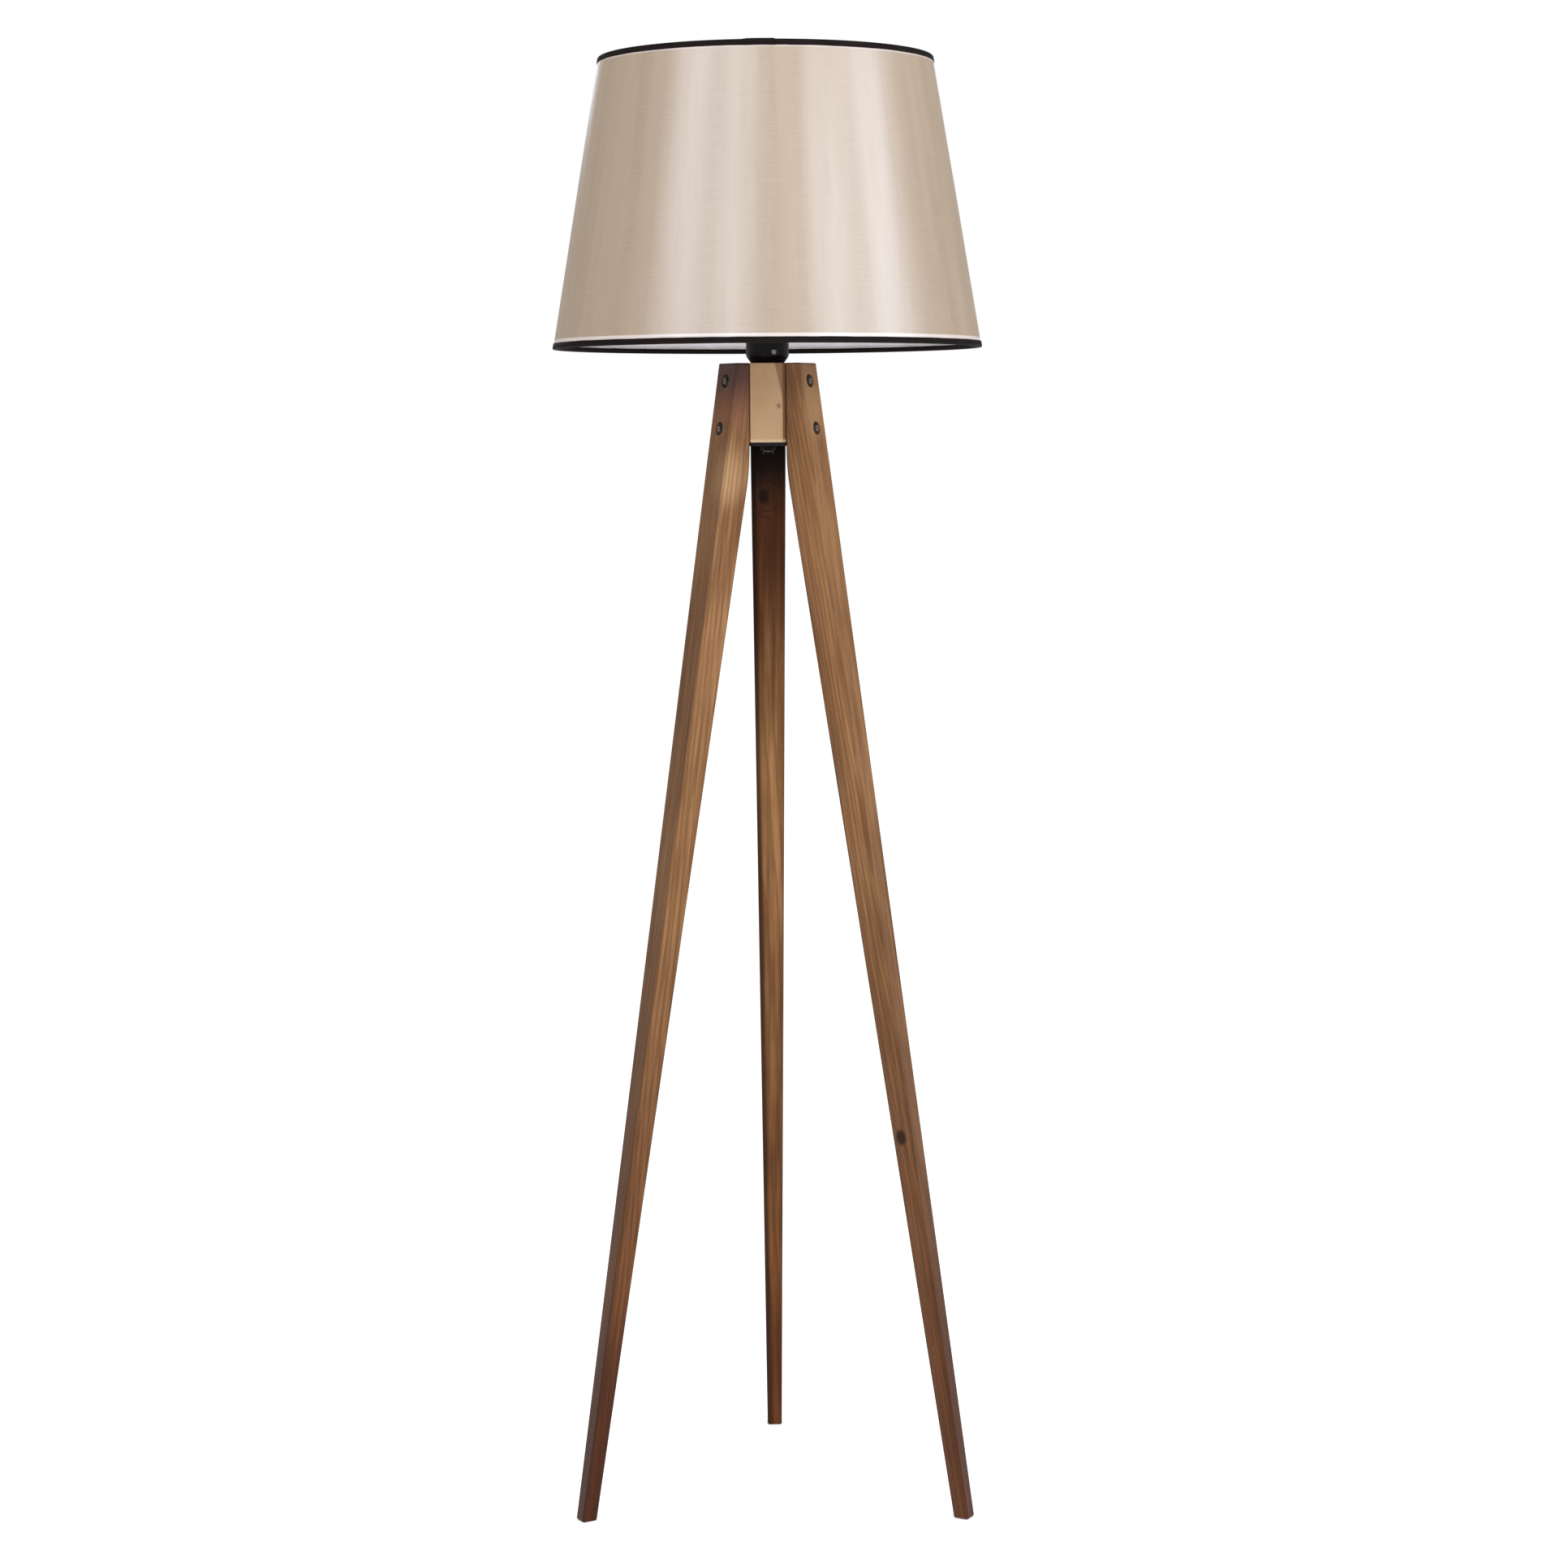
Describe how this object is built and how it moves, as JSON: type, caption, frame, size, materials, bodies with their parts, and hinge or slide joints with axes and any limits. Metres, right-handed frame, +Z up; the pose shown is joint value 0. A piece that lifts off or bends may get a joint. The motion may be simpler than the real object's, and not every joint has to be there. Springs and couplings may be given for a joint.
{
  "type": "tripod floor lamp",
  "caption": "Floor lamp on tapered wooden legs bolted to a six-sided head block, with a conical fabric shade clamped to a screw lampholder.",
  "frame": {"origin": "on the floor, on the vertical axis through the lampholder, midway between the feet", "axes": "+Z up along the lamp's axis; -Y is the front, between the left and the right leg; +X is to the right seen from the front; the back leg stands towards +Y"},
  "size_m": [0.4496, 0.4624, 1.524],
  "materials": {
    "stained_wood": "stained softwood, satin varnish",
    "pale_wood": "lighter stained softwood, satin varnish",
    "black_steel": "blackened steel, semi-gloss",
    "zinc_steel": "zinc-plated steel",
    "brass": "bare brass",
    "black_plastic": "moulded black thermoplastic, semi-matt",
    "cream_plastic": "moulded thermoset",
    "white_steel": "white powder coat",
    "liner_plastic": "white lining sheet",
    "satin_cloth": "champagne satin with a soft sheen",
    "black_tape": "black woven binding tape",
    "nickel": "nickel-plated brass",
    "black_glass": "black insulating glass",
    "white_plastic": "white thermoplastic",
    "opal_plastic": "opal diffuser",
    "aluminium": "bare aluminium board"
  },
  "bodies": {
    "stand": {"leg_left": "stained_wood", "leg_right": "stained_wood", "leg_back": "stained_wood", "head_block": "pale_wood", "head_plate": "black_steel", "threaded_inserts": "brass", "leg_bolts_upper": "black_steel", "leg_bolts_lower": "black_steel", "threaded_tube": "zinc_steel", "tube_washer": "black_steel", "tube_nut": "black_steel", "cord_inlet": "black_plastic", "holder_cap": "black_plastic", "holder_lock_screw": "zinc_steel", "contact_carrier": "cream_plastic", "terminal_screws": "brass", "centre_contact": "brass", "screw_shell": "brass", "holder_skirt": "black_plastic"},
    "shade": {"shade_fitter": "white_steel", "shade_spokes": "white_steel", "shade_lower_wire": "white_steel", "shade_upper_wire": "white_steel", "shade_liner": "liner_plastic", "shade_fabric": "satin_cloth", "shade_upper_tape": "black_tape", "shade_lower_tape": "black_tape"},
    "ring": {"shade_ring": "black_plastic"},
    "lamp": {"lamp_screw_cap": "nickel", "lamp_insulator": "black_glass", "lamp_tip_contact": "nickel", "lamp_housing": "white_plastic", "led_board": "aluminium", "lamp_diffuser": "opal_plastic"}
  },
  "joints": [
    {"name": "shade_turn", "type": "hinge", "parent": "stand", "child": "shade", "pos_m": [0, 0, 1.24], "axis": [0, 0, 1], "continuous": true},
    {"name": "ring_turn", "type": "hinge", "parent": "stand", "child": "ring", "pos_m": [0, 0, 1.244], "axis": [0, 0, 1], "range_deg": [0, 1080]},
    {"name": "lamp_turn", "type": "hinge", "parent": "stand", "child": "lamp", "pos_m": [0, 0, 1.25], "axis": [0, 0, 1], "range_deg": [0, 1800]}
  ]
}
